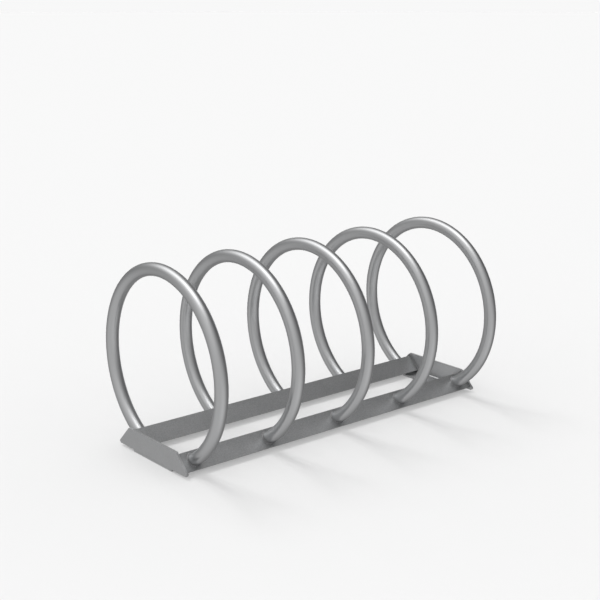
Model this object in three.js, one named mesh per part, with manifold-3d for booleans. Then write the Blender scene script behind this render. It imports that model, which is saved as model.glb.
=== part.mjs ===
// Floor bike rack. Five round hoops of steel tube stand in a row on two steel angle rails. The rails lie
// ridge up, and a plate with a floor foot is welded across each pair of rail ends.
//
// Millimetres, +Z up. X runs along the row of hoops and Y across it. The origin is on the floor, under
// the middle of the rack.

import * as THREE from 'three';
import { mergeVertices } from 'three/addons/utils/BufferGeometryUtils.js';
import Module from 'manifold-3d';

const wasm = await Module();
wasm.setup();

// Hoops: round tube, rolled to a part circle
const hoopCount = 5;
const hoopPitch = 350; // between the planes of two hoops
const hoopOuterDiameter = 782;
const tubeDiameter = 51;
const tubeWall = 2;

// Rails: rolled equal angle
const railSpacing = 317; // ridge to ridge
const railAboveFoot = 11.4; // from the top of a foot to the rails' toes
const angleLeg = 80;
const angleWall = 8;
const angleRootRadius = 10;
const angleToeRadius = 5;
const hoopSeat = 37.5; // from a rail's ridge, down its outer leg, to the middle of a hoop's end

// End plates
const endOverhang = 64.5; // from the plane of the last hoop to the plate's outer face
const plateWall = 10;
const plateAboveRidge = 11;
const plateBesideLeg = 9.5; // how far the plate's sloping side stands proud of the rail's outer leg
const plateCornerRadius = 8;

// Feet: flat bar under each end plate
const footLength = 260; // across the rack
const footWidth = 80;
const footWall = 8;
const anchorHoleDiameter = 14;
const anchorHoleSpacing = 120;
const anchorHoleInset = 32; // from the foot's inner edge

// Fillet welds: leg lengths, and how far the bead's crown stands out, as a share of both legs
const hoopWeld = 4;
const railWeld = 4;
const footWeld = 7;
const footWeldEnd = 8; // from each end of the foot's weld to the rail's toe over it
const weldCrown = 0.6;
const rootGap = 0.3; // left between two welded pieces, and between a bead and the pieces that it joins

// Fineness of the round shapes
const quarterTurnSteps = 12; // straight pieces in a quarter of a hoop
const tubeSides = 16;
const boreSides = 8;
const cornerSegments = 5;
const holeSegments = 16;
const beadSegments = 24;

// Sizes that follow
const tubeRadius = tubeDiameter / 2;
const hoopRadius = hoopOuterDiameter / 2 - tubeRadius; // to the tube's centre line
const legSlope = Math.PI / 4; // a right angle that lies ridge up slopes alike on both sides
const legDrop = angleLeg * Math.sin(legSlope);
const railY = railSpacing / 2;
const toeHeight = footWall + railAboveFoot;
const ridgeHeight = toeHeight + legDrop;
const seatY = railY + hoopSeat * Math.cos(legSlope);
const seatHeight = ridgeHeight - hoopSeat * Math.sin(legSlope);
const hoopHeight = seatHeight + Math.sqrt(hoopRadius ** 2 - seatY ** 2); // of the hoop's centre
const seatAngle = Math.atan2(hoopHeight - seatHeight, seatY); // below the level of that centre
const tubeLean = seatAngle - legSlope; // between the tube's end and a line square to the leg
const endX = ((hoopCount - 1) * hoopPitch) / 2 + endOverhang; // the end plate's outer face
const plateInnerX = endX - plateWall;
const plateBottom = footWall + rootGap;
const plateTop = ridgeHeight + plateAboveRidge;

const tubeSteel = { color: 0xa9abab, metalness: 0.9, roughness: 0.32 };
const railSteel = { color: 0x6f7172, metalness: 0.6, roughness: 0.6 };
const plateSteel = { color: 0x858788, metalness: 0.6, roughness: 0.6 };
const weldSteel = { color: 0x8b8d8e, metalness: 0.7, roughness: 0.5 };

// Takes a section drawn across the rack, in Y and Z, and its length to X
const acrossRack = new THREE.Matrix4().makeBasis(
  new THREE.Vector3(0, 1, 0),
  new THREE.Vector3(0, 0, 1),
  new THREE.Vector3(1, 0, 0),
);

/** A circular line in a plane across the rack, with a station at each of the given angles. */
class HoopLine extends THREE.Curve {
  constructor(radius, angles) {
    super();
    this.radius = radius;
    this.angles = angles;
  }

  getPoint(t, target = new THREE.Vector3()) {
    const place = THREE.MathUtils.clamp(t, 0, 1) * (this.angles.length - 1);
    const index = Math.min(Math.floor(place), this.angles.length - 2);
    const angle = THREE.MathUtils.lerp(this.angles[index], this.angles[index + 1], place - index);
    return target.set(0, this.radius * Math.cos(angle), this.radius * Math.sin(angle));
  }

  getUtoTmapping(u) {
    return u;
  }
}

/** One named piece. */
function piece(name, geometry, finish) {
  const mesh = new THREE.Mesh(geometry, new THREE.MeshStandardMaterial(finish));
  mesh.name = name;
  return mesh;
}

/** A closed geometry as a solid that can be joined and cut. */
function toSolid(geometry) {
  const bare = geometry.clone();
  bare.deleteAttribute('normal');
  bare.deleteAttribute('uv');
  const merged = mergeVertices(bare);
  const vertProperties = new Float32Array(merged.attributes.position.array);
  const triVerts = new Uint32Array(merged.index.array);
  return new wasm.Manifold(new wasm.Mesh({ numProp: 3, vertProperties, triVerts }));
}

/** A solid as a geometry again, with flat faces. */
function toGeometry(solid) {
  const { vertProperties, triVerts } = solid.getMesh();
  const indexed = new THREE.BufferGeometry();
  indexed.setAttribute('position', new THREE.BufferAttribute(vertProperties, 3));
  indexed.setIndex(new THREE.BufferAttribute(triVerts, 1));
  const geometry = indexed.toNonIndexed();
  geometry.computeVertexNormals();
  return geometry;
}

/** Corner points of a regular polygon round the origin. */
function polygonPoints(radius, sides) {
  const points = [];
  for (let side = 0; side < sides; side += 1) {
    const angle = (side * 2 * Math.PI) / sides;
    points.push(new THREE.Vector2(radius * Math.cos(angle), radius * Math.sin(angle)));
  }
  return points;
}

/** A closed outline through the corners, each rounded with an arc; the corners run anticlockwise. */
function roundedOutline(corners, radius) {
  const shape = new THREE.Shape();
  corners.forEach((corner, index) => {
    const before = corners.at(index - 1);
    const after = corners[(index + 1) % corners.length];
    const arriving = corner.clone().sub(before).normalize();
    const leaving = after.clone().sub(corner).normalize();
    const turn = Math.acos(arriving.dot(leaving));
    const centre = corner
      .clone()
      .addScaledVector(arriving, -radius * Math.tan(turn / 2))
      .add(new THREE.Vector2(-arriving.y, arriving.x).multiplyScalar(radius));
    const startAngle = Math.atan2(-arriving.x, arriving.y);
    shape.absarc(centre.x, centre.y, radius, startAngle, startAngle + turn, false);
  });
  return shape;
}

/** Section of a fillet weld, with its square corner at the origin. */
function beadPoints(out, up) {
  return [
    new THREE.Vector2(0, 0),
    new THREE.Vector2(out, 0),
    new THREE.Vector2(out * weldCrown, up * weldCrown),
    new THREE.Vector2(0, up),
  ];
}

/** A fillet weld that runs right round; its axis is Y and it stands on Y = rootGap. */
function beadRing(innerRadius, out, up, segments) {
  const profile = beadPoints(out, up);
  profile.push(profile[0].clone());
  profile.forEach((point) => point.add(new THREE.Vector2(innerRadius, rootGap)));
  return new THREE.LatheGeometry(profile, segments);
}

/**
 * Stations along a hoop, as angles round its centre. There is one at each end's seat and one just above
 * its weld, so that the tube is true there, and one at each quarter of the circle.
 */
function hoopAngles() {
  const weldTop = (2 * hoopWeld) / hoopRadius - seatAngle;
  const overrun = (tubeRadius * Math.tan(tubeLean) + hoopWeld) / hoopRadius;
  const stepsBelow = Math.round((-weldTop / (Math.PI / 2)) * quarterTurnSteps);
  const rising = [-seatAngle - overrun, -seatAngle];
  for (let step = 0; step < stepsBelow; step += 1) {
    rising.push(weldTop * (1 - step / stepsBelow));
  }
  for (let step = 0; step < quarterTurnSteps; step += 1) {
    rising.push((step / quarterTurnSteps) * (Math.PI / 2));
  }
  const falling = rising.map((angle) => Math.PI - angle).reverse();
  return [...rising, Math.PI / 2, ...falling];
}

/** A rolled tube with its two ends cut to lie on the outer legs of the rails. */
function hoopGeometry() {
  const section = new THREE.Shape(polygonPoints(tubeRadius, tubeSides));
  section.holes.push(new THREE.Path(polygonPoints(tubeRadius - tubeWall, boreSides)));
  const angles = hoopAngles();
  const rolled = new THREE.ExtrudeGeometry(section, {
    steps: angles.length - 1,
    extrudePath: new HoopLine(hoopRadius, angles),
    bevelEnabled: false,
  });
  rolled.translate(0, 0, hoopHeight);

  const cutDepth = 2 * tubeDiameter;
  let hoop = toSolid(rolled);
  for (const side of [-1, 1]) {
    const cut = new THREE.BoxGeometry(2 * tubeDiameter, cutDepth, 2 * tubeDiameter);
    cut.translate(0, rootGap - cutDepth / 2, 0);
    cut.rotateX(side > 0 ? legSlope : Math.PI - legSlope);
    cut.translate(0, side * seatY, seatHeight);
    hoop = hoop.subtract(toSolid(cut));
  }
  return toGeometry(hoop);
}

/** The weld round a hoop's end, on the outer leg; its axis is square to the leg, at the hoop's seat. */
function hoopWeldGeometry() {
  const flatToCorner = 1 / Math.cos(Math.PI / beadSegments);
  const bead = beadRing((tubeRadius + rootGap) * flatToCorner, hoopWeld, hoopWeld, beadSegments);
  bead.scale(1, 1, 1 / Math.cos(tubeLean));
  bead.applyMatrix4(new THREE.Matrix4().makeShear(0, 0, 0, -Math.tan(tubeLean), 0, 0));
  return bead;
}

/** Rolled equal angle, ridge up, with its ridge on the X axis. */
function railGeometry() {
  const section = new THREE.Shape();
  const innerToe = angleWall - angleToeRadius;
  const root = angleWall + angleRootRadius;
  section.moveTo(0, 0);
  section.lineTo(angleLeg, 0);
  section.absarc(angleLeg - angleToeRadius, innerToe, angleToeRadius, 0, Math.PI / 2, false);
  section.absarc(root, root, angleRootRadius, -Math.PI / 2, -Math.PI, true);
  section.absarc(innerToe, angleLeg - angleToeRadius, angleToeRadius, 0, Math.PI / 2, false);
  section.lineTo(0, angleLeg);
  const length = 2 * (plateInnerX - rootGap);
  const rail = new THREE.ExtrudeGeometry(section, {
    depth: length,
    curveSegments: cornerSegments,
    bevelEnabled: false,
  });
  rail.translate(0, 0, -length / 2);
  rail.rotateZ(-Math.PI / 2 - legSlope);
  rail.applyMatrix4(acrossRack);
  return rail;
}

/** The weld over a rail's end: a square ring with one corner up, cut off at the rail's toes. */
function railWeldGeometry() {
  const cornerStretch = 1 / Math.cos(legSlope);
  const ring = beadRing(legDrop + rootGap * cornerStretch, railWeld * cornerStretch, railWeld, 4);
  ring.rotateZ(-Math.PI / 2);
  ring.translate(0, 0, -legDrop);
  const belowToes = new THREE.BoxGeometry(4 * railWeld, 4 * angleLeg, 2 * angleLeg);
  belowToes.translate(0, 0, -legDrop - angleLeg);
  return toGeometry(toSolid(ring).subtract(toSolid(belowToes)));
}

/** The upright plate across the rail ends, drawn round the outline of the two rails. */
function plateGeometry() {
  const sideShift = plateBesideLeg / Math.cos(legSlope);
  const halfWidthAt = (height) => railY + sideShift + (ridgeHeight - height) / Math.tan(legSlope);
  const outline = roundedOutline(
    [
      new THREE.Vector2(-halfWidthAt(plateBottom), plateBottom),
      new THREE.Vector2(halfWidthAt(plateBottom), plateBottom),
      new THREE.Vector2(halfWidthAt(plateTop), plateTop),
      new THREE.Vector2(-halfWidthAt(plateTop), plateTop),
    ],
    plateCornerRadius,
  );
  const plate = new THREE.ExtrudeGeometry(outline, {
    depth: plateWall,
    curveSegments: cornerSegments,
    bevelEnabled: false,
  });
  plate.applyMatrix4(acrossRack);
  plate.translate(plateInnerX, 0, 0);
  return plate;
}

/** The flat foot under the plate, flush with its outer face, with two holes for floor anchors. */
function footGeometry() {
  const outline = new THREE.Shape([
    new THREE.Vector2(endX - footWidth, -footLength / 2),
    new THREE.Vector2(endX, -footLength / 2),
    new THREE.Vector2(endX, footLength / 2),
    new THREE.Vector2(endX - footWidth, footLength / 2),
  ]);
  for (const side of [-1, 1]) {
    const hole = new THREE.Path();
    const holeX = endX - footWidth + anchorHoleInset;
    hole.absarc(holeX, (side * anchorHoleSpacing) / 2, anchorHoleDiameter / 2, 0, 2 * Math.PI, true);
    outline.holes.push(hole);
  }
  return new THREE.ExtrudeGeometry(outline, {
    depth: footWall,
    curveSegments: holeSegments / 2,
    bevelEnabled: false,
  });
}

/** The weld between the plate's inner face and the top of the foot. */
function footWeldGeometry() {
  const length = 2 * (railY - legDrop - footWeldEnd);
  const bead = new THREE.ExtrudeGeometry(new THREE.Shape(beadPoints(footWeld, footWeld)), {
    depth: length,
    bevelEnabled: false,
  });
  bead.rotateX(Math.PI / 2);
  bead.rotateZ(Math.PI);
  bead.translate(plateInnerX - rootGap, -length / 2, footWall + rootGap);
  return bead;
}

/** One rail with the welds on it: the far one, or turned half round, the near one. */
function railSide(label, facing) {
  const side = new THREE.Group();
  side.rotation.z = facing > 0 ? 0 : Math.PI;

  const rail = piece(`${label}_rail`, railGeometry(), railSteel);
  rail.position.set(0, railY, ridgeHeight);
  side.add(rail);

  for (let index = 0; index < hoopCount; index += 1) {
    const weld = piece(`hoop_${index + 1}_${label}_weld`, hoopWeldGeometry(), weldSteel);
    weld.position.set(facing * hoopX(index), seatY, seatHeight);
    weld.rotation.x = legSlope;
    side.add(weld);
  }

  for (const [end, turn] of [['left', -1], ['right', 1]]) {
    const weld = piece(`${label}_rail_${end}_weld`, railWeldGeometry(), weldSteel);
    weld.position.set(facing * turn * plateInnerX, railY, ridgeHeight);
    weld.rotation.z = facing * turn > 0 ? Math.PI : 0;
    side.add(weld);
  }
  return side;
}

/** End plate, foot and their weld: the right end, or turned half round, the left one. */
function rackEnd(label, facing) {
  const end = new THREE.Group();
  end.rotation.z = facing > 0 ? 0 : Math.PI;
  end.add(piece(`${label}_end_plate`, plateGeometry(), plateSteel));
  end.add(piece(`${label}_foot`, footGeometry(), plateSteel));
  end.add(piece(`${label}_foot_weld`, footWeldGeometry(), weldSteel));
  return end;
}

/** Where a hoop stands along the rack. */
function hoopX(index) {
  return (index - (hoopCount - 1) / 2) * hoopPitch;
}

const rack = new THREE.Group();
for (let index = 0; index < hoopCount; index += 1) {
  const hoop = piece(`hoop_${index + 1}`, hoopGeometry(), tubeSteel);
  hoop.position.x = hoopX(index);
  rack.add(hoop);
}
rack.add(railSide('near', -1), railSide('far', 1));
rack.add(rackEnd('left', -1), rackEnd('right', 1));

export default rack;
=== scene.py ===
"""Floor bike rack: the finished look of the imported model.

Five satin steel hoops stand on two blasted steel angle rails, with an end plate and a foot at each
end. The pieces are modelled again with rounded edges, rolled roots and rippled weld beads, and get
their steel finishes.

Metres, +Z up. X runs along the row of hoops and Y across it. The origin is on the floor, under the
middle of the rack.
"""

import logging
import math
from collections.abc import Callable, Iterator
from contextlib import contextmanager
from dataclasses import dataclass
from enum import Enum

import bmesh
import bpy
from bpy.types import Material, Node, NodeSocket, NodeTree, Object
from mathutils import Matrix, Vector


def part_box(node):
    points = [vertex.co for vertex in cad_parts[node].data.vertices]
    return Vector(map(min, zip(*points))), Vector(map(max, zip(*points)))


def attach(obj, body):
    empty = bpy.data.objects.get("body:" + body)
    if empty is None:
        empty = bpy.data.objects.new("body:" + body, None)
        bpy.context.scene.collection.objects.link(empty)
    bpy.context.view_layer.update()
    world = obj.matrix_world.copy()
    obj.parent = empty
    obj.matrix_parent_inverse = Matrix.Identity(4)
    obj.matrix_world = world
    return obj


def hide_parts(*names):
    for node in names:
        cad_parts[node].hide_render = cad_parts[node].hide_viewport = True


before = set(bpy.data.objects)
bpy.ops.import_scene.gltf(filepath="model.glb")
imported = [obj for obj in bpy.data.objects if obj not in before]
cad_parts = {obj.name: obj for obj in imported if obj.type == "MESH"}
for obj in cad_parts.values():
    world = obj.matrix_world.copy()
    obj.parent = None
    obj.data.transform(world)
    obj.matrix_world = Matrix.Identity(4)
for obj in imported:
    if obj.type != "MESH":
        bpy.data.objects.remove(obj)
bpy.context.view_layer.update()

log = logging.getLogger("bike_rack")

LEG_SLOPE = math.pi / 4  # both legs of a rail that lies ridge up
HALF_ROOT = math.sqrt(0.5)
SMOOTH_BELOW = math.radians(35)
SHARP_ABOVE = math.radians(50)
FLAT_BELOW = math.radians(1)
TOUCHING = 1e-5
ON_LINE = 1e-4
STRAIGHT_ALONG = 0.9  # how closely an edge has to follow an axis
UNSHADED_INSET = 0.0005  # how far in from the end plates' outer faces the painted corner shade stops


# ---- Tools of the bench ----


class Part(Enum):
    """What an edit tool works on."""

    CORNERS = "VERT"
    EDGES = "EDGE"
    FACES = "FACE"


def take_up(obj: Object) -> None:
    """Select one object alone, and make it the active one.

    Args:
        obj: The object.
    """
    bpy.ops.object.select_all(action="DESELECT")
    obj.select_set(True)
    bpy.context.view_layer.objects.active = obj


@contextmanager
def at_the_bench(obj: Object) -> Iterator[None]:
    """Put one object in edit mode, with nothing picked.

    Args:
        obj: The object to shape.

    Yields:
        Nothing; the object leaves edit mode afterwards.
    """
    take_up(obj)
    bpy.ops.object.mode_set(mode="EDIT")
    bpy.ops.mesh.select_all(action="DESELECT")
    yield
    bpy.ops.object.mode_set(mode="OBJECT")


def edge_middle(edge: bmesh.types.BMEdge) -> Vector:
    """Give the middle of an edge."""
    return (edge.verts[0].co + edge.verts[1].co) / 2


def pick(obj: Object, part: Part, test: Callable[[Vector, Vector], bool]) -> None:
    """Pick the corners, edges or faces that pass a test, and nothing else.

    Args:
        obj: The object at the bench.
        part: Corners, edges or faces.
        test: Takes the middle of each and its direction: the normal, or the line of an edge.
    """
    bpy.ops.mesh.select_mode(type=part.value)
    bpy.ops.mesh.select_all(action="DESELECT")
    mesh = bmesh.from_edit_mesh(obj.data)
    if part is Part.CORNERS:
        found = [corner for corner in mesh.verts if test(corner.co, corner.normal)]
    elif part is Part.EDGES:
        found = [
            edge
            for edge in mesh.edges
            if test(edge_middle(edge), edge.verts[1].co - edge.verts[0].co)
        ]
    else:
        found = [face for face in mesh.faces if test(face.calc_center_median(), face.normal)]
    for element in found:
        element.select_set(True)
    mesh.select_flush_mode()
    bmesh.update_edit_mesh(obj.data)


def pick_open_rims(obj: Object, test: Callable[[Vector], bool]) -> None:
    """Pick the open edges of a sheet that pass a test.

    Args:
        obj: The object at the bench.
        test: Takes the middle of each edge.
    """
    bpy.ops.mesh.select_mode(type="EDGE")
    bpy.ops.mesh.select_all(action="DESELECT")
    mesh = bmesh.from_edit_mesh(obj.data)
    for edge in mesh.edges:
        if edge.is_boundary and test(edge_middle(edge)):
            edge.select_set(True)
    bmesh.update_edit_mesh(obj.data)


def pick_all() -> None:
    """Pick all of the object at the bench."""
    bpy.ops.mesh.select_all(action="SELECT")


def stock(primitive: Callable[..., set[str]], name: str, **settings: object) -> Object:
    """Take a plain piece to start from, with nothing else selected.

    Args:
        primitive: The operator that adds it.
        name: The piece's name.
        settings: The operator's own settings.

    Returns:
        The object.
    """
    bpy.ops.object.select_all(action="DESELECT")
    primitive(**settings)
    obj = bpy.context.object
    obj.name = obj.data.name = name
    return obj


def settle(obj: Object) -> None:
    """Put the object's place, turn and scale in its mesh.

    Args:
        obj: The object to settle.
    """
    take_up(obj)
    bpy.ops.object.transform_apply(location=True, rotation=True, scale=True)


def apply_modifier(obj: Object, kind: str, **settings: object) -> None:
    """Add one modifier with its settings, and apply it.

    Args:
        obj: The object to change.
        kind: The modifier's type.
        settings: The modifier's own settings.
    """
    modifier = obj.modifiers.new(kind.title(), kind)
    for name, value in settings.items():
        setattr(modifier, name, value)
    take_up(obj)
    bpy.ops.object.modifier_apply(modifier=modifier.name)


def copied(obj: Object, name: str) -> Object:
    """Copy an object together with its mesh.

    Args:
        obj: The object to copy.
        name: The copy's name.

    Returns:
        The copy.
    """
    twin = obj.copy()
    twin.data = obj.data.copy()
    twin.name = twin.data.name = name
    bpy.context.scene.collection.objects.link(twin)
    return twin


def half_turned(obj: Object, name: str) -> Object:
    """Copy an object to the opposite side of the rack, turned half round.

    Args:
        obj: The object to copy.
        name: The copy's name.

    Returns:
        The copy.
    """
    twin = copied(obj, name)
    twin.rotation_euler = (0.0, 0.0, math.pi)
    settle(twin)
    return twin


def face_outwards(obj: Object) -> None:
    """Turn all faces of a closed mesh outwards.

    Args:
        obj: The closed mesh.
    """
    with at_the_bench(obj):
        pick_all()
        bpy.ops.mesh.normals_make_consistent(inside=False)


def shade(obj: Object) -> None:
    """Shade smoothly over the soft edges of a piece, and keep its sharp ones.

    Args:
        obj: The piece.
    """
    take_up(obj)
    bpy.ops.object.shade_smooth_by_angle(angle=SMOOTH_BELOW)


def shade_flats(obj: Object) -> None:
    """Shade a piece with large flats: they stay flat up to their rounded edges.

    Args:
        obj: The piece.
    """
    shade(obj)
    apply_modifier(obj, "WEIGHTED_NORMAL", mode="FACE_AREA", weight=100, keep_sharp=True)


def place(obj: Object, node: str, steel: Material) -> None:
    """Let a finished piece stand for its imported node.

    Args:
        obj: The finished piece.
        node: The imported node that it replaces.
        steel: The piece's finish.
    """
    obj.data.materials.clear()
    obj.data.materials.append(steel)
    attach(obj, "root")
    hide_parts(node)
    log.info("%s: %d faces", node, len(obj.data.polygons))


# ---- Finishes ----


class NodeBoard:
    """A node tree under work: adds nodes and joins them."""

    def __init__(self, tree: NodeTree) -> None:
        """Start on an empty tree.

        Args:
            tree: The tree of a material, a world or a group.
        """
        self.tree = tree
        tree.nodes.clear()

    def add(self, kind: str, **settings: object) -> Node:
        """Add one node.

        Args:
            kind: The node's type, without the word that all types start with.
            settings: The node's own settings.

        Returns:
            The node.
        """
        node = self.tree.nodes.new("ShaderNode" + kind)
        for name, value in settings.items():
            setattr(node, name, value)
        return node

    def join(self, source: NodeSocket, target: NodeSocket) -> None:
        """Join an output to an input."""
        self.tree.links.new(source, target)

    def fill(self, target: NodeSocket, value: object) -> None:
        """Join an input to an output, or give it a plain value.

        Args:
            target: The input.
            value: An output or a plain value.
        """
        if isinstance(value, NodeSocket):
            self.join(value, target)
        else:
            target.default_value = value

    def feed(self, node: Node, *values: object) -> None:
        """Fill a node's inputs in order, from sockets or plain values; None leaves one as it is.

        Args:
            node: The node to fill.
            values: One for each input.
        """
        for socket, value in zip(node.inputs, values):
            if value is not None:
                self.fill(socket, value)

    def maths(self, operation: str, *values: object) -> NodeSocket:
        """Add one sum.

        Args:
            operation: The Math node's operation.
            values: Its inputs, sockets or numbers.

        Returns:
            The result.
        """
        node = self.add("Math", operation=operation)
        self.feed(node, *values)
        return node.outputs[0]

    def vectors(self, operation: str, *values: object) -> NodeSocket:
        """Add one sum of vectors.

        Args:
            operation: The Vector Math node's operation.
            values: Its inputs, sockets or vectors.

        Returns:
            The result, a value for a dot product or a length.
        """
        node = self.add("VectorMath", operation=operation)
        self.feed(node, *values)
        return node.outputs["Value" if operation in {"DOT_PRODUCT", "LENGTH"} else "Vector"]

    def noise(self, vector: NodeSocket, scale: object, layers: float) -> NodeSocket:
        """Add a noise pattern.

        Args:
            vector: Where the pattern is read.
            scale: Spots in a metre, a socket or a number.
            layers: How many finer layers it has.

        Returns:
            The pattern, about 0.5 all over.
        """
        node = self.add("TexNoise")
        self.join(vector, node.inputs["Vector"])
        self.fill(node.inputs["Scale"], scale)
        node.inputs["Detail"].default_value = layers
        return node.outputs["Fac"]

    def off_middle(self, pattern: NodeSocket) -> NodeSocket:
        """Shift a pattern that is about 0.5 to one that is about 0."""
        return self.maths("SUBTRACT", pattern, 0.5)


class Effect:
    """A shared effect: a node group, built once and placed in each finish with its own values."""

    name = ""
    inputs: dict[str, str] = {}
    outputs: dict[str, str] = {}

    def group(self) -> NodeTree:
        """Build the group, or find it if it is there.

        Returns:
            The node group.
        """
        tree = bpy.data.node_groups.get(self.name)
        if tree is not None:
            return tree
        tree = bpy.data.node_groups.new(self.name, "ShaderNodeTree")
        for label, kind in self.inputs.items():
            tree.interface.new_socket(label, in_out="INPUT", socket_type="NodeSocket" + kind)
        for label, kind in self.outputs.items():
            tree.interface.new_socket(label, in_out="OUTPUT", socket_type="NodeSocket" + kind)
        board = NodeBoard(tree)
        start = tree.nodes.new("NodeGroupInput")
        end = tree.nodes.new("NodeGroupOutput")
        self.wire(board, start, end)
        return tree

    def wire(self, board: NodeBoard, start: Node, end: Node) -> None:
        """Lay the group's nodes between its inputs and its outputs.

        Args:
            board: The group's node board.
            start: The group's inputs.
            end: The group's outputs.
        """
        raise NotImplementedError

    def put(self, board: NodeBoard, **values: object) -> Node:
        """Place the effect in a finish.

        Args:
            board: The finish's node board.
            values: The group's inputs by name, sockets or numbers.

        Returns:
            The group's node.
        """
        node = board.add("Group")
        node.node_tree = self.group()
        for label, value in values.items():
            board.fill(node.inputs[label], value)
        return node


class RolledCoordinates(Effect):
    """Unrolls a hoop: a pattern can then run along its tube."""

    name = "rolled_coordinates"
    inputs = {"Point": "Vector", "Centre": "Float", "Radius": "Float", "Stretch": "Float"}
    outputs = {"Vector": "Vector"}

    def wire(self, board: NodeBoard, start: Node, end: Node) -> None:
        """Give the length along the tube, squeezed by Stretch, then the two ways across it.

        Args:
            board: The group's node board.
            start: The group's inputs.
            end: The group's outputs.
        """
        parts = board.add("SeparateXYZ")
        board.join(start.outputs["Point"], parts.inputs[0])
        height = board.maths("SUBTRACT", parts.outputs["Z"], start.outputs["Centre"])
        angle = board.maths("ARCTAN2", parts.outputs["Y"], height)
        length = board.maths("MULTIPLY", angle, start.outputs["Radius"])
        along = board.maths("DIVIDE", length, start.outputs["Stretch"])
        wide = board.maths("MULTIPLY", parts.outputs["Y"], parts.outputs["Y"])
        high = board.maths("MULTIPLY", height, height)
        across = board.maths("SQRT", board.maths("ADD", wide, high))
        joined = board.add("CombineXYZ")
        board.feed(joined, along, across, parts.outputs["X"])
        board.join(joined.outputs[0], end.inputs["Vector"])


class Speckle(Effect):
    """The fine bright and dark grains of blasted steel, with a slow cloud under them."""

    name = "speckle"
    inputs = {"Point": "Vector", "Grain": "Float", "Cloud": "Float", "Contrast": "Float"}
    outputs = {"Tone": "Float", "Height": "Float"}
    grain_layers = 2.0
    cloud_layers = 3.0
    cloud_share = 0.35

    def wire(self, board: NodeBoard, start: Node, end: Node) -> None:
        """Give a tone about 1 and a height from 0 to 1; Grain and Cloud are spots in a metre.

        Args:
            board: The group's node board.
            start: The group's inputs.
            end: The group's outputs.
        """
        point = start.outputs["Point"]
        fine = board.noise(point, start.outputs["Grain"], self.grain_layers)
        slow = board.noise(point, start.outputs["Cloud"], self.cloud_layers)
        clouds = board.maths("MULTIPLY", board.off_middle(slow), self.cloud_share)
        both = board.maths("ADD", board.off_middle(fine), clouds)
        tone = board.maths("MULTIPLY_ADD", both, start.outputs["Contrast"], 1.0)
        board.join(tone, end.inputs["Tone"])
        board.join(fine, end.inputs["Height"])


class EdgeWear(Effect):
    """A mask that is 1 along sharp edges, where handling polishes the steel."""

    name = "edge_wear"
    inputs = {"Point": "Vector", "Gain": "Float"}
    outputs = {"Mask": "Float"}
    reach = 0.0022
    spots = 90.0  # in a metre
    layers = 2.0

    def wire(self, board: NodeBoard, start: Node, end: Node) -> None:
        """Compare the normal with one that is rounded over each edge.

        Args:
            board: The group's node board.
            start: The group's inputs.
            end: The group's outputs.
        """
        rounded = board.add("Bevel", samples=4)
        rounded.inputs["Radius"].default_value = self.reach
        plain = board.add("NewGeometry")
        alike = board.vectors("DOT_PRODUCT", rounded.outputs["Normal"], plain.outputs["Normal"])
        edge = board.maths("SUBTRACT", 1.0, alike)
        broken = board.noise(start.outputs["Point"], self.spots, self.layers)
        gain = board.maths("MULTIPLY", start.outputs["Gain"], broken)
        mask = board.add("Math", operation="MULTIPLY", use_clamp=True)
        board.feed(mask, edge, gain)
        board.join(mask.outputs[0], end.inputs["Mask"])


class PaintedCornerShade(Effect):
    """Painted shade in tight corners, where little light reaches; at the rack's outer ends, past a
    limit along X, none is painted.
    """

    name = "painted_corner_shade"
    inputs = {"Point": "Vector", "Reach": "Float", "Depth": "Float", "Limit": "Float"}
    outputs = {"Tone": "Float"}

    def wire(self, board: NodeBoard, start: Node, end: Node) -> None:
        """Give a tone that falls from 1 by Depth where all within Reach is closed: painted shade.

        Beyond Limit, along the rack, it stays 1.

        Args:
            board: The group's node board.
            start: The group's inputs.
            end: The group's outputs.
        """
        # Ambient occlusion, painted into the colour as shade in corners and under parts.
        around = board.add("AmbientOcclusion", samples=8)
        board.join(start.outputs["Reach"], around.inputs["Distance"])
        closed = board.maths("SUBTRACT", 1.0, around.outputs["AO"])
        parts = board.add("SeparateXYZ")
        board.join(start.outputs["Point"], parts.inputs[0])
        off_middle = board.maths("ABSOLUTE", parts.outputs["X"])
        inside = board.maths("LESS_THAN", off_middle, start.outputs["Limit"])
        shaded_inside = board.maths("MULTIPLY", closed, inside)
        darkening = board.maths("MULTIPLY", shaded_inside, start.outputs["Depth"])
        board.join(board.maths("SUBTRACT", 1.0, darkening), end.inputs["Tone"])


def blank_material(name: str) -> tuple[Material, NodeBoard]:
    """Start a material.

    Args:
        name: The material's name.

    Returns:
        The material, and the board for its nodes.
    """
    material = bpy.data.materials.new(name)
    material.use_nodes = True
    return material, NodeBoard(material.node_tree)


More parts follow.
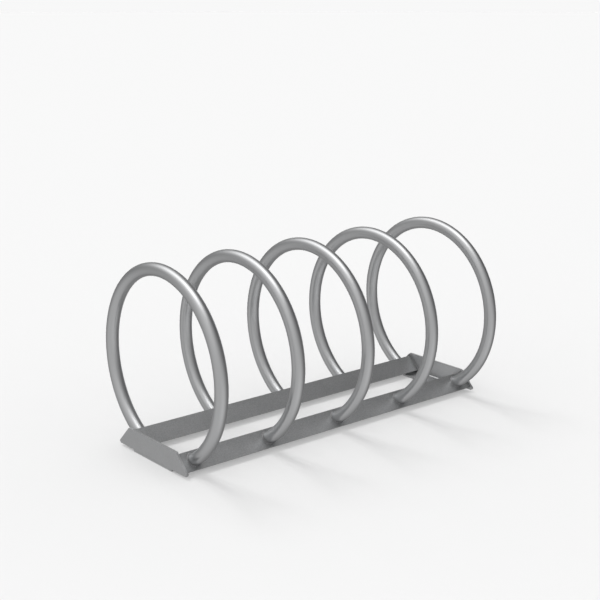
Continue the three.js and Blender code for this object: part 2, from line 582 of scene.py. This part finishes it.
@dataclass(frozen=True)
class Finish:
    """What the rack's steels share: a colour, a fine relief, and painted shade in tight corners."""

    name: str
    colour: tuple[float, float, float] = (0.555, 0.560, 0.566)
    roughness: float = 0.38
    roughness_change: float = 0.08
    bump: float = 0.00002
    edge_tint: float = 1.0  # how much light it gives back when it is seen edge on
    # How far and how deep the painted shade in tight corners reaches, and where along the rack it
    # stops.
    shade_reach: float = 0.025
    shade_depth: float = 0.80
    shade_limit: float = 1.0

    def lay(
        self,
        board: NodeBoard,
        point: NodeSocket,
        tone: NodeSocket,
        rough: NodeSocket,
        relief: NodeSocket,
    ) -> None:
        """Lay the steel's shader with its painted corner shade, and join it to the material's
        surface.

        Args:
            board: The finish's node board.
            point: Where the finish is read.
            tone: How bright the steel is before the painted corner shade, about 1.
            rough: How rough it is.
            relief: Its fine relief, from 0 to 1.
        """
        # Ambient occlusion darkens the colour here: painted shade in corners and under parts.
        corner_shade = PaintedCornerShade().put(
            board,
            Point=point,
            Reach=self.shade_reach,
            Depth=self.shade_depth,
            Limit=self.shade_limit,
        )
        shaded_tone = board.maths("MULTIPLY", tone, corner_shade.outputs["Tone"])
        grey = board.vectors("SCALE", (1.0, 1.0, 1.0), None, None, shaded_tone)
        shader = board.add("BsdfPrincipled")
        shader.inputs["Metallic"].default_value = 1.0
        shader.inputs["Specular Tint"].default_value = (*(self.edge_tint,) * 3, 1.0)
        board.join(board.vectors("MULTIPLY", self.colour, grey), shader.inputs["Base Color"])
        board.join(rough, shader.inputs["Roughness"])
        bump = board.add("Bump")
        bump.inputs["Distance"].default_value = self.bump
        board.join(relief, bump.inputs["Height"])
        board.join(bump.outputs["Normal"], shader.inputs["Normal"])
        board.join(shader.outputs[0], board.add("OutputMaterial").inputs["Surface"])


@dataclass(frozen=True)
class SatinTube(Finish):
    """Smooth rolled tube with a faint grain along its length."""

    name: str = "satin_tube_steel"
    roughness: float = 0.28
    roughness_change: float = 0.02
    bump: float = 0.000001
    edge_tint: float = 0.80
    # How far and how deep the painted corner shade reaches on the tubes, darkest at their feet.
    shade_reach: float = 0.020
    shade_depth: float = 0.70
    streak: float = 0.0026
    streak_layers: float = 2.0
    stretch: float = 90.0
    cloud: float = 9.0
    cloud_layers: float = 3.0
    tone_change: float = 0.03

    def material(self, centre: float, radius: float) -> Material:
        """Make the finish.

        Args:
            centre: Height of the hoops' centre.
            radius: Radius of the hoops' centre line.

        Returns:
            The material.
        """
        steel, board = blank_material(self.name)
        point = board.add("TexCoord").outputs["Object"]
        rolled = RolledCoordinates().put(
            board, Point=point, Centre=centre, Radius=radius, Stretch=self.stretch
        ).outputs["Vector"]
        streaks = board.noise(rolled, 1.0 / self.streak, self.streak_layers)
        clouds = board.noise(point, self.cloud, self.cloud_layers)
        grain = board.off_middle(streaks)
        streaky = board.maths("MULTIPLY_ADD", grain, self.tone_change, 1.0)
        tone = board.maths("MULTIPLY_ADD", board.off_middle(clouds), self.tone_change, streaky)
        rough = board.maths("MULTIPLY_ADD", grain, self.roughness_change, self.roughness)
        self.lay(board, point, tone, rough, streaks)
        return steel


@dataclass(frozen=True)
class BlastedSteel(Finish):
    """Flat steel with the speckled grey that blasting leaves, polished a little along its edges."""

    grain: float = 210.0
    cloud: float = 14.0
    contrast: float = 0.60
    wear: float = 0.03
    wear_gain: float = 3.0
    polish: float = 0.04

    def material(self) -> Material:
        """Make the finish.

        Returns:
            The material.
        """
        steel, board = blank_material(self.name)
        point = board.add("TexCoord").outputs["Object"]
        speckle = Speckle().put(
            board, Point=point, Grain=self.grain, Cloud=self.cloud, Contrast=self.contrast
        )
        relief = speckle.outputs["Height"]
        worn = EdgeWear().put(board, Point=point, Gain=self.wear_gain).outputs["Mask"]
        tone = board.maths("MULTIPLY_ADD", worn, self.wear, speckle.outputs["Tone"])
        grain = board.off_middle(relief)
        blasted = board.maths("MULTIPLY_ADD", grain, self.roughness_change, self.roughness)
        rough = board.maths("MULTIPLY_ADD", worn, -self.polish, blasted)
        self.lay(board, point, tone, rough, relief)
        return steel


# ---- The rack ----


@dataclass(frozen=True)
class RackPlan:
    """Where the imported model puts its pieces; the finished ones are set out from it."""

    hoop_places: tuple[float, ...]
    hoop_top: float
    hoop_reach: float
    rail_y: float
    ridge: float
    rail_end: float
    plate_inside: float
    plate_outside: float
    plate_bottom: float
    plate_top: float
    plate_half_width: float
    foot_inside: float
    foot_half_length: float
    foot_top: float

    @classmethod
    def from_frame(cls, hoops: int) -> "RackPlan":
        """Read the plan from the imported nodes.

        Args:
            hoops: How many hoops the rack has.

        Returns:
            The plan.
        """
        boxes = [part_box(f"hoop_{number}") for number in range(1, hoops + 1)]
        rail_low, rail_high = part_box("far_rail")
        plate_low, plate_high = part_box("right_end_plate")
        foot_low, foot_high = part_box("right_foot")
        return cls(
            hoop_places=tuple((low[0] + high[0]) / 2 for low, high in boxes),
            hoop_top=boxes[0][1][2],
            hoop_reach=boxes[0][1][1],
            rail_y=(rail_low[1] + rail_high[1]) / 2,
            ridge=rail_high[2],
            rail_end=rail_high[0],
            plate_inside=plate_low[0],
            plate_outside=plate_high[0],
            plate_bottom=plate_low[2],
            plate_top=plate_high[2],
            plate_half_width=plate_high[1],
            foot_inside=foot_low[0],
            foot_half_length=foot_high[1],
            foot_top=foot_high[2],
        )


@dataclass
class Hoops:
    """The five rolled tubes and the weld bead round each foot."""

    plan: RackPlan
    steel: Material
    weld_steel: Material
    tube_radius: float = 0.0255
    wall: float = 0.002
    seat: float = 0.0375  # from the rail's ridge, down its leg, to the middle of a tube's end
    root_gap: float = 0.0003
    sides: int = 48
    steps: int = 132
    overrun: float = 0.03
    bead_leg: float = 0.004
    bead_sink: float = 0.0003  # how deep the bead's root lies in the tube and the leg
    bead_sides: int = 96
    bead_profile: tuple[tuple[float, float], ...] = (  # out and up, in legs of the bead
        (0.70, 0.22),
        (0.44, 0.44),
        (0.22, 0.70),
        (0.0, 1.0),
    )
    ripple: float = 0.00012
    ripple_spacing: int = 4  # in sides of the bead
    ripple_band: tuple[float, float] = (0.2, 0.9)  # of the bead's leg

    @property
    def radius(self) -> float:
        """Radius of the tube's centre line."""
        return self.plan.hoop_reach - self.tube_radius

    @property
    def centre(self) -> float:
        """Height of a hoop's centre."""
        return self.plan.hoop_top - self.plan.hoop_reach

    @property
    def seat_point(self) -> Vector:
        """Middle of a tube's end on the far rail's outer leg, in the plane of a hoop."""
        down = self.seat * HALF_ROOT
        return Vector((0.0, self.plan.rail_y + down, self.plan.ridge - down))

    @property
    def seat_angle(self) -> float:
        """How far the seat lies below the level of a hoop's centre, round that centre."""
        return math.atan2(self.centre - self.seat_point.z, self.seat_point.y)

    def build(self) -> None:
        """Make the hoops and their beads, and set them on the rails."""
        hoop = self.rolled_tube()
        bead = self.bead()
        for number, x in enumerate(self.plan.hoop_places, start=1):
            twin = copied(hoop, f"tube_hoop_{number}")
            twin.location.x = x
            settle(twin)
            shade(twin)
            place(twin, f"hoop_{number}", self.steel)
            for side, turn in (("far", 0.0), ("near", math.pi)):
                ring = copied(bead, f"tube_weld_{number}_{side}")
                ring.rotation_euler.z = turn
                ring.location.x = x
                settle(ring)
                shade(ring)
                place(ring, f"hoop_{number}_{side}_weld", self.weld_steel)
        bpy.data.objects.remove(hoop)
        bpy.data.objects.remove(bead)

    def rolled_tube(self) -> Object:
        """Roll a tube with its bore, and cut both ends to lie on the rails.

        Returns:
            The hoop, in the middle of the rack.
        """
        start = -self.seat_angle - self.overrun
        on_circle = Vector((0.0, math.cos(start), math.sin(start))) * self.radius
        middle = Vector((0.0, 0.0, self.centre))
        obj = stock(
            bpy.ops.mesh.primitive_circle_add,
            "hoop_blank",
            vertices=self.sides,
            radius=self.tube_radius,
            location=middle + on_circle,
            rotation=(start, 0.0, 0.0),
        )
        settle(obj)
        with at_the_bench(obj):
            pick_all()
            self.roll(middle, start)
            bpy.ops.mesh.select_all(action="DESELECT")
            bpy.ops.mesh.primitive_circle_add(
                vertices=self.sides,
                radius=self.tube_radius - self.wall,
                location=middle + on_circle,
                rotation=(start, 0.0, 0.0),
            )
            self.roll(middle, start)
            for side in (1.0, -1.0):
                self.cut_end(obj, side)
        face_outwards(obj)
        return obj

    def roll(self, middle: Vector, start: float) -> None:
        """Spin the picked circle round the hoop's centre, from one foot to the other.

        Args:
            middle: The hoop's centre.
            start: The angle of the picked circle.
        """
        bpy.ops.mesh.spin(
            steps=self.steps,
            angle=math.pi - 2 * start,
            center=middle,
            axis=(-1.0, 0.0, 0.0),
        )

    def cut_end(self, obj: Object, side: float) -> None:
        """Cut one end of the tube parallel to the rail's leg, and close its rim.

        Args:
            obj: The hoop at the bench.
            side: 1 for the far end, -1 for the near one.
        """
        square = Vector((0.0, side * HALF_ROOT, HALF_ROOT))
        seat = self.seat_point
        on_leg = Vector((0.0, side * seat.y, seat.z)) + square * self.root_gap
        pick(obj, Part.FACES, lambda middle, normal: middle.y * side > 0)
        bpy.ops.mesh.bisect(plane_co=on_leg, plane_no=-square, clear_outer=True)
        pick_open_rims(obj, lambda middle: abs((middle - on_leg).dot(square)) < TOUCHING)
        bpy.ops.mesh.bridge_edge_loops()

    def bead(self) -> Object:
        """Lay the rippled bead round a tube's end, on the far rail's outer leg.

        Returns:
            The bead, in the middle of the rack.
        """
        lean = self.seat_angle - LEG_SLOPE
        leg = self.bead_leg + self.root_gap + self.bead_sink
        root = self.tube_radius - self.bead_sink
        circle = bpy.ops.mesh.primitive_circle_add
        obj = stock(circle, "bead_blank", vertices=self.bead_sides, radius=root + leg)
        with at_the_bench(obj):
            pick_all()
            out, up = 1.0, 0.0
            for next_out, next_up in (*self.bead_profile, (0.0, 0.0)):
                rise = (next_up - up) * leg
                bpy.ops.mesh.extrude_edges_move(
                    TRANSFORM_OT_translate={"value": (0.0, rise * math.sin(lean), rise)}
                )
                grow = (root + next_out * leg) / (root + out * leg)
                centre = (0.0, next_up * leg * math.sin(lean), next_up * leg)
                bpy.ops.transform.resize(value=(grow, grow, 1.0), center_override=centre)
                out, up = next_out, next_up
            pick_open_rims(obj, lambda middle: True)
            bpy.ops.mesh.bridge_edge_loops()
            pick_all()
            longer = (1.0, 1.0 / math.cos(lean), 1.0)
            bpy.ops.transform.resize(value=longer, center_override=(0.0, 0.0, 0.0))
        face_outwards(obj)
        self.ripple_crown(obj, leg)
        obj.rotation_euler.x = -LEG_SLOPE
        obj.location = self.seat_point - Vector((0.0, HALF_ROOT, HALF_ROOT)) * self.bead_sink
        settle(obj)
        return obj

    def ripple_crown(self, obj: Object, leg: float) -> None:
        """Raise the bead's ripples, low lines across its face.

        Args:
            obj: The bead, flat on its leg.
            leg: The bead's leg length.
        """
        pitch = math.tau / self.bead_sides
        low, high = (share * leg for share in self.ripple_band)

        def raised(corner: Vector, normal: Vector) -> bool:
            """Say whether a corner is on a ripple."""
            turn = round(math.atan2(corner.y, corner.x) / pitch)
            return turn % self.ripple_spacing == 0 and low < corner.z < high

        with at_the_bench(obj):
            pick(obj, Part.CORNERS, raised)
            bpy.ops.transform.shrink_fatten(value=self.ripple)


@dataclass
class Rails:
    """Two rolled equal angles, ridge up."""

    plan: RackPlan
    steel: Material
    leg: float = 0.080
    wall: float = 0.008
    root_radius: float = 0.010
    toe_radius: float = 0.005
    ridge_radius: float = 0.0006
    root_flats: int = 6
    toe_flats: int = 5
    ridge_flats: int = 3
    lip_flats: int = 2  # at the outer edge of a toe, which has the ridge's radius

    def build(self) -> None:
        """Make the far rail, and turn a copy of it for the near one."""
        far = self.rolled_angle()
        near = half_turned(far, "angle_rail_near")
        for rail, node in ((far, "far_rail"), (near, "near_rail")):
            shade_flats(rail)
            place(rail, node, self.steel)

    def rolled_angle(self) -> Object:
        """Fold a strip along the ridge, give it its wall, and round its root, toes and ridge.

        Returns:
            The far rail.
        """
        ridge = Vector((0.0, self.plan.rail_y, self.plan.ridge))
        down = self.leg * HALF_ROOT
        obj = stock(
            bpy.ops.mesh.primitive_plane_add,
            "angle_rail_far",
            size=1.0,
            location=ridge + Vector((0.0, down / 2, -down / 2)),
            rotation=(-LEG_SLOPE, 0.0, 0.0),
        )
        obj.scale = (2 * self.plan.rail_end, self.leg, 1.0)
        settle(obj)
        with at_the_bench(obj):
            pick(obj, Part.EDGES, lambda middle, line: abs(middle.z - ridge.z) < TOUCHING)
            bpy.ops.mesh.extrude_edges_move(TRANSFORM_OT_translate={"value": (0.0, -down, -down)})
        apply_modifier(obj, "SOLIDIFY", thickness=self.wall, offset=-1.0, use_even_offset=True)
        face_outwards(obj)
        root = ridge - Vector((0.0, 0.0, self.wall / HALF_ROOT))
        self.round_edges(obj, root, self.root_radius, self.root_flats)
        for side in (1.0, -1.0):
            outer_toe = ridge + Vector((0.0, side * down, -down))
            inwards = Vector((0.0, -side * HALF_ROOT, -HALF_ROOT)) * self.wall
            self.round_edges(obj, outer_toe + inwards, self.toe_radius, self.toe_flats)
            self.round_edges(obj, outer_toe, self.ridge_radius, self.lip_flats)
        self.round_edges(obj, ridge, self.ridge_radius, self.ridge_flats)
        return obj

    def round_edges(self, obj: Object, spot: Vector, radius: float, segments: int) -> None:
        """Round the long edge that passes through a spot of the section.

        Args:
            obj: The rail.
            spot: A point on the edge's line; its X doesn't matter.
            radius: The edge's radius.
            segments: Flats over its arc.
        """

        def on_line(middle: Vector, line: Vector) -> bool:
            """Say whether an edge lies on the line."""
            near = math.hypot(middle.y - spot.y, middle.z - spot.z) < ON_LINE
            return near and abs(line.normalized().x) > STRAIGHT_ALONG

        with at_the_bench(obj):
            pick(obj, Part.EDGES, on_line)
            bpy.ops.mesh.bevel(offset=radius, segments=segments, profile=0.5, affect="EDGES")


@dataclass
class RackEnds:
    """At each end an upright plate with sloping sides, and the flat foot under it."""

    plan: RackPlan
    steel: Material
    plate_corner: float = 0.008
    plate_corner_sides: int = 64
    plate_slope: float = LEG_SLOPE
    plate_edge: float = 0.00025
    foot_edge: float = 0.00025
    foot_corner: float = 0.0015
    hole_diameter: float = 0.014
    hole_sides: int = 40
    hole_spacing: float = 0.120
    hole_inset: float = 0.032  # from the foot's inner edge

    def build(self) -> None:
        """Make the right end, and turn a copy of it for the left one."""
        for piece, node in ((self.plate(), "end_plate"), (self.foot(), "foot")):
            twin = half_turned(piece, f"left_{piece.name}")
            for side, obj in (("right", piece), ("left", twin)):
                shade_flats(obj)
                place(obj, f"{side}_{node}", self.steel)

    def plate(self) -> Object:
        """Stretch the plate round four round corners, and break its edges.

        Returns:
            The right end plate.
        """
        plan = self.plan
        wall = plan.plate_outside - plan.plate_inside
        radius = self.plate_corner
        low, high = plan.plate_bottom + radius, plan.plate_top - radius
        lower = plan.plate_half_width - radius
        upper = lower - (high - low) / math.tan(self.plate_slope)
        obj = stock(
            bpy.ops.mesh.primitive_cylinder_add,
            "upright_end_plate",
            vertices=self.plate_corner_sides,
            radius=radius,
            depth=wall,
            location=(plan.plate_inside + wall / 2, lower, low),
            rotation=(0.0, math.pi / 2, 0.0),
        )
        settle(obj)
        with at_the_bench(obj):
            pick_all()
            up, across = high - low, upper - lower
            for step in ((0.0, across, up), (0.0, -2 * upper, 0.0), (0.0, across, -up)):
                bpy.ops.mesh.duplicate_move(TRANSFORM_OT_translate={"value": step})
            pick_all()
            bpy.ops.mesh.convex_hull(join_triangles=True)
            pick_all()
            bpy.ops.mesh.dissolve_limited(angle_limit=FLAT_BELOW)
        face_outwards(obj)
        self.break_edges(obj, self.plate_edge)
        return obj

    def foot(self) -> Object:
        """Cut the flat bar, drill it and break its edges.

        Returns:
            The right foot.
        """
        plan = self.plan
        width = plan.plate_outside - plan.foot_inside
        obj = stock(
            bpy.ops.mesh.primitive_cube_add,
            "flat_foot",
            size=1.0,
            location=(plan.foot_inside + width / 2, 0.0, plan.foot_top / 2),
        )
        obj.scale = (width, 2 * plan.foot_half_length, plan.foot_top)
        settle(obj)
        with at_the_bench(obj):
            pick(obj, Part.EDGES, lambda middle, line: abs(line.normalized().z) > STRAIGHT_ALONG)
            bpy.ops.mesh.bevel(offset=self.foot_corner, segments=3, affect="EDGES")
        for side in (1.0, -1.0):
            self.drill(obj, side * self.hole_spacing / 2)
        self.break_edges(obj, self.foot_edge)
        return obj

    def drill(self, foot: Object, y: float) -> None:
        """Drill one anchor hole.

        Args:
            foot: The foot.
            y: Where the hole is across the rack.
        """
        bit = stock(
            bpy.ops.mesh.primitive_cylinder_add,
            "drill_bit",
            vertices=self.hole_sides,
            radius=self.hole_diameter / 2,
            depth=4 * self.plan.foot_top,
            location=(self.plan.foot_inside + self.hole_inset, y, self.plan.foot_top / 2),
        )
        settle(bit)
        apply_modifier(foot, "BOOLEAN", operation="DIFFERENCE", object=bit, solver="EXACT")
        bpy.data.objects.remove(bit)

    def break_edges(self, obj: Object, width: float) -> None:
        """Break all sharp edges of a piece.

        Args:
            obj: The piece.
            width: Width of the broken edge.
        """
        apply_modifier(
            obj, "BEVEL", width=width, segments=2, limit_method="ANGLE", angle_limit=SHARP_ABOVE
        )


@dataclass
class StraightWelds:
    """The beads over the rails' ends and between the plates and their feet."""

    plan: RackPlan
    steel: Material
    foot_steel: Material
    rail_leg: float = 0.080
    rail_bead: float = 0.004
    foot_bead: float = 0.007
    foot_end_gap: float = 0.008
    root_gap: float = 0.0003
    hollow: float = 0.94  # the share of the leg over which the bead's face is hollow
    hollow_profile: float = 0.36
    ripple_pitch: float = 0.0026
    ripple: float = 0.00006
    plain_toe: float = 0.15  # the share of the leg that has no ripples

    def build(self) -> None:
        """Lay the four beads over the rails' ends and the two on the feet."""
        over_rail = self.over_rail_end()
        for turned, far_end in ((False, "right"), (True, "left")):
            for flipped, side in ((False, "far"), (True, "near")):
                bead = copied(over_rail, f"rail_weld_{side}_{far_end}")
                if flipped != turned:
                    self.flip_across(bead)
                if turned:
                    bead.rotation_euler.z = math.pi
                    settle(bead)
                shade(bead)
                place(bead, f"{side}_rail_{far_end}_weld", self.steel)
        bpy.data.objects.remove(over_rail)

        right = self.on_foot()
        left = half_turned(right, "foot_weld_left")
        for bead, node in ((right, "right_foot_weld"), (left, "left_foot_weld")):
            shade(bead)
            place(bead, node, self.foot_steel)

    def run(self, name: str, leg: float, length: float) -> Object:
        """Lay a straight rippled bead: its square root lies on +Z, from the origin.

        Args:
            name: The bead's name.
            leg: Its leg length, along X and Y.
            length: Its length.

        Returns:
            The bead.
        """
        obj = stock(
            bpy.ops.mesh.primitive_plane_add, name, size=leg, location=(leg / 2, leg / 2, 0.0)
        )
        settle(obj)
        steps = 2 * max(1, round(length / self.ripple_pitch))
        with at_the_bench(obj):
            pick(obj, Part.CORNERS, lambda corner, normal: min(corner.x, corner.y) > leg / 2)
            bpy.ops.mesh.bevel(
                offset=self.hollow * leg, segments=4, profile=self.hollow_profile, affect="VERTICES"
            )
            pick_all()
            bpy.ops.mesh.extrude_repeat(steps=steps, offset=(0.0, 0.0, length / steps))
            pick_all()
            bpy.ops.mesh.normals_make_consistent(inside=False)

            def raised(corner: Vector, normal: Vector) -> bool:
                """Say whether a corner is on a ripple."""
                step = round(corner.z / length * steps)
                on_face = min(corner.x, corner.y) > self.plain_toe * leg
                return 0 < step < steps and step % 2 == 1 and on_face

            pick(obj, Part.CORNERS, raised)
            bpy.ops.transform.shrink_fatten(value=self.ripple)
        return obj

    def over_rail_end(self) -> Object:
        """Lay the bead over the far rail's right end, from toe to toe.

        Returns:
            The bead.
        """
        leg = self.rail_bead + self.root_gap
        bead = self.run("rail_bead_blank", leg, self.rail_leg + leg)
        bead.location.z = -self.rail_leg
        settle(bead)
        bead.rotation_euler = (LEG_SLOPE, 0.0, 0.0)
        settle(bead)
        with at_the_bench(bead):
            pick_all()
            bpy.ops.mesh.bisect(
                plane_co=(0.0, 0.0, 0.0), plane_no=(0.0, -1.0, 0.0), clear_outer=True
            )
        apply_modifier(
            bead, "MIRROR", use_axis=(False, True, False), use_clip=True, merge_threshold=TOUCHING
        )
        bead.rotation_euler = (0.0, 0.0, math.pi)
        bead.location = (self.plan.plate_inside, self.plan.rail_y, self.plan.ridge)
        settle(bead)
        face_outwards(bead)
        return bead

    def flip_across(self, bead: Object) -> None:
        """Move a bead to the other rail of the same end; it is alike on both sides of its ridge."""
        bead.location.y = -2 * self.plan.rail_y
        settle(bead)

    def on_foot(self) -> Object:
        """Lay the bead in the corner of the right plate and its foot.

        Returns:
            The bead.
        """
        leg = self.foot_bead + self.root_gap
        reach = self.plan.rail_y - self.rail_leg * HALF_ROOT - self.foot_end_gap
        bead = self.run("foot_weld_right", leg, 2 * reach)
        bead.rotation_euler = (math.pi / 2, 0.0, 0.0)
        settle(bead)
        bead.scale = (-1.0, 1.0, 1.0)
        bead.location = (self.plan.plate_inside, reach, self.plan.foot_top)
        settle(bead)
        face_outwards(bead)
        return bead


# ---- Studio ----


def way_towards(azimuth: float, elevation: float) -> tuple[float, float, float]:
    """Give the way to a light, from the rack.

    Args:
        azimuth: Degrees round the rack, from +X.
        elevation: Degrees above the floor.

    Returns:
        The direction, of length 1.
    """
    turn, rise = math.radians(azimuth), math.radians(elevation)
    return (math.cos(rise) * math.cos(turn), math.cos(rise) * math.sin(turn), math.sin(rise))


@dataclass(frozen=True)
class SoftLight:
    """One soft patch of the studio's light, as the steel reflects it."""

    name: str
    azimuth: float
    elevation: float
    strength: float
    sharpness: float


@dataclass
class Studio:
    """Pale floor and backdrop, soft light, and the camera at the photograph's angle."""

    pale: float = 0.938
    floor_glow: float = 0.254
    floor_albedo: float = 0.50
    floor_reach: float = 75.0
    floor_sides: int = 128
    floor_drop: float = 0.0002  # keeps the floor clear of the feet
    wall_height: float = 30.0
    ring_strength: float = 2.44
    ring_height: float = 0.17
    ring_sharpness: float = 3.9
    key_strength: float = 1.41
    key_angle: float = 24.0
    key_azimuth: float = 90.0
    key_elevation: float = 54.0
    key_height: float = 3.0
    camera_place: tuple[float, float, float] = (-3.0290, -3.6035, 1.7430)
    camera_turn: tuple[float, float, float] = (75.22, 0.0, -39.68)
    lens: float = 71.92
    sensor: float = 36.0
    sight: float = 500.0
    patches: tuple[SoftLight, ...] = (
        SoftLight("overhead", 195.0, 88.0, 1.95, 14.5),
        SoftLight("behind", 96.0, 52.5, 1.50, 12.4),
        SoftLight("upper_left", 207.0, 50.0, 0.75, 2.0),
        SoftLight("low_behind_right", 41.0, -9.0, 0.46, 5.2),
        SoftLight("low_behind_left", 150.0, -38.0, 0.51, 1.8),
        SoftLight("low_front", 272.0, -36.0, 0.60, 2.7),
    )

    def build(self) -> None:
        """Set up everything round the rack."""
        self.floor()
        self.world()
        self.key()
        self.camera()
        bpy.context.scene.view_settings.view_transform = "Standard"

    def floor(self) -> None:
        """Lay the floor, with the backdrop standing round it."""
        circle = bpy.ops.mesh.primitive_circle_add
        size = {"vertices": self.floor_sides, "radius": self.floor_reach}
        floor = stock(circle, "studio_floor", fill_type="NGON", **size)
        floor.location.z = -self.floor_drop
        settle(floor)
        paper = self.paper("studio_floor_paper", self.floor_albedo, self.floor_glow)
        floor.data.materials.append(paper)
        floor.visible_glossy = False

        wall = stock(circle, "studio_backdrop", **size)
        with at_the_bench(wall):
            pick_all()
            bpy.ops.mesh.extrude_edges_move(
                TRANSFORM_OT_translate={"value": (0.0, 0.0, self.wall_height)}
            )
        wall.data.materials.append(self.paper("studio_backdrop_paper", 0.0, self.pale))
        wall.visible_glossy = False
        wall.visible_diffuse = False
        wall.visible_shadow = False

    def paper(self, name: str, albedo: float, glow: float) -> Material:
        """Make plain matt paper that is also lit from behind.

        Args:
            name: The paper's name.
            albedo: The share of light that it gives back.
            glow: How bright it is by itself.

        Returns:
            The material.
        """
        material, board = blank_material(name)
        matt = board.add("BsdfDiffuse")
        matt.inputs["Color"].default_value = (albedo, albedo, albedo, 1.0)
        light = board.add("Emission")
        light.inputs["Strength"].default_value = glow
        both = board.add("AddShader")
        board.feed(both, matt.outputs[0], light.outputs[0])
        board.join(both.outputs[0], board.add("OutputMaterial").inputs["Surface"])
        return material

    def world(self) -> None:
        """Light the studio: a low ring for the floor, and soft patches that the steel reflects."""
        world = bpy.data.worlds.new("studio_light")
        world.use_nodes = True
        world.cycles.sampling_method = "NONE"  # so that each ray reads its own share of the light
        bpy.context.scene.world = world
        board = NodeBoard(world.node_tree)
        way = board.add("TexCoord").outputs["Generated"]
        total: object = 0.0
        for patch in self.patches:
            facing = board.vectors("DOT_PRODUCT", way, way_towards(patch.azimuth, patch.elevation))
            falloff = board.maths("MULTIPLY", board.maths("SUBTRACT", facing, 1.0), patch.sharpness)
            lit = board.maths("MULTIPLY", board.maths("EXPONENT", falloff), patch.strength)
            total = board.maths("ADD", lit, total)
        parts = board.add("SeparateXYZ")
        board.join(way, parts.inputs[0])
        above = board.maths("SUBTRACT", parts.outputs["Z"], self.ring_height)
        squared = board.maths("MULTIPLY", above, above)
        spread = board.maths("MULTIPLY", squared, -self.ring_sharpness)
        ring = board.maths("MULTIPLY", board.maths("EXPONENT", spread), self.ring_strength)
        rays = board.add("LightPath")
        mixed = board.add("Mix", data_type="FLOAT")
        board.feed(mixed, rays.outputs["Is Glossy Ray"], None, ring, total)
        back = board.add("Background")
        back.inputs["Color"].default_value = (1.0, 1.0, 1.0, 1.0)
        board.join(mixed.outputs[0], back.inputs["Strength"])
        board.join(back.outputs[0], board.add("OutputWorld").inputs["Surface"])

    def key(self) -> None:
        """Hang the key light that throws the soft shadows."""
        bpy.ops.object.select_all(action="DESELECT")
        bpy.ops.object.light_add(type="SUN", location=(0.0, 0.0, self.key_height))
        key = bpy.context.object
        key.name = "key_light"
        key.data.energy = self.key_strength
        key.data.angle = math.radians(self.key_angle)
        towards = Vector(way_towards(self.key_azimuth, self.key_elevation))
        key.rotation_euler = towards.to_track_quat("Z", "Y").to_euler()
        key.visible_glossy = False

    def camera(self) -> None:
        """Stand the camera where the photograph was taken from."""
        bpy.ops.object.camera_add(
            location=self.camera_place,
            rotation=tuple(math.radians(turn) for turn in self.camera_turn),
        )
        camera = bpy.context.object
        camera.name = "photo_camera"
        camera.data.lens = self.lens
        camera.data.sensor_width = self.sensor
        camera.data.clip_end = self.sight
        bpy.context.scene.camera = camera


def main() -> None:
    """Build the rack's pieces in order, dress them, and light them."""
    logging.basicConfig(level=logging.INFO, format="%(name)s: %(message)s")
    plan = RackPlan.from_frame(hoops=5)
    # The rails get a darker copy of the plates' blasted steel: painted shade on the rails.
    shaded_rail_steel = BlastedSteel(
        "shaded_blasted_rail_steel", colour=(0.466, 0.471, 0.477), roughness=0.40, shade_depth=0.60
    ).material()
    # The end plates' outer faces are kept free of the painted corner shade.
    plate_steel = BlastedSteel(
        "blasted_plate_steel", contrast=0.20, shade_limit=plan.plate_outside - UNSHADED_INSET
    ).material()
    weld_steel = BlastedSteel(
        "weld_steel",
        colour=(0.28, 0.282, 0.285),
        roughness=0.62,
        wear=0.0,
        shade_depth=0.30,
    ).material()
    dressed_weld_steel = BlastedSteel(
        "dressed_weld_steel",
        colour=(0.27, 0.273, 0.276),
        roughness=0.60,
        wear=0.0,
        shade_depth=0.30,
    ).material()
    bright_weld_steel = BlastedSteel(
        "bright_weld_steel", contrast=0.10, roughness=0.22, wear=0.0
    ).material()
    tube_steel = SatinTube().material(
        centre=plan.hoop_top - plan.hoop_reach, radius=plan.hoop_reach - Hoops.tube_radius
    )
    Hoops(plan, tube_steel, weld_steel).build()
    Rails(plan, shaded_rail_steel).build()
    RackEnds(plan, plate_steel).build()
    StraightWelds(plan, dressed_weld_steel, bright_weld_steel).build()
    Studio().build()


if __name__ == "__main__":
    main()
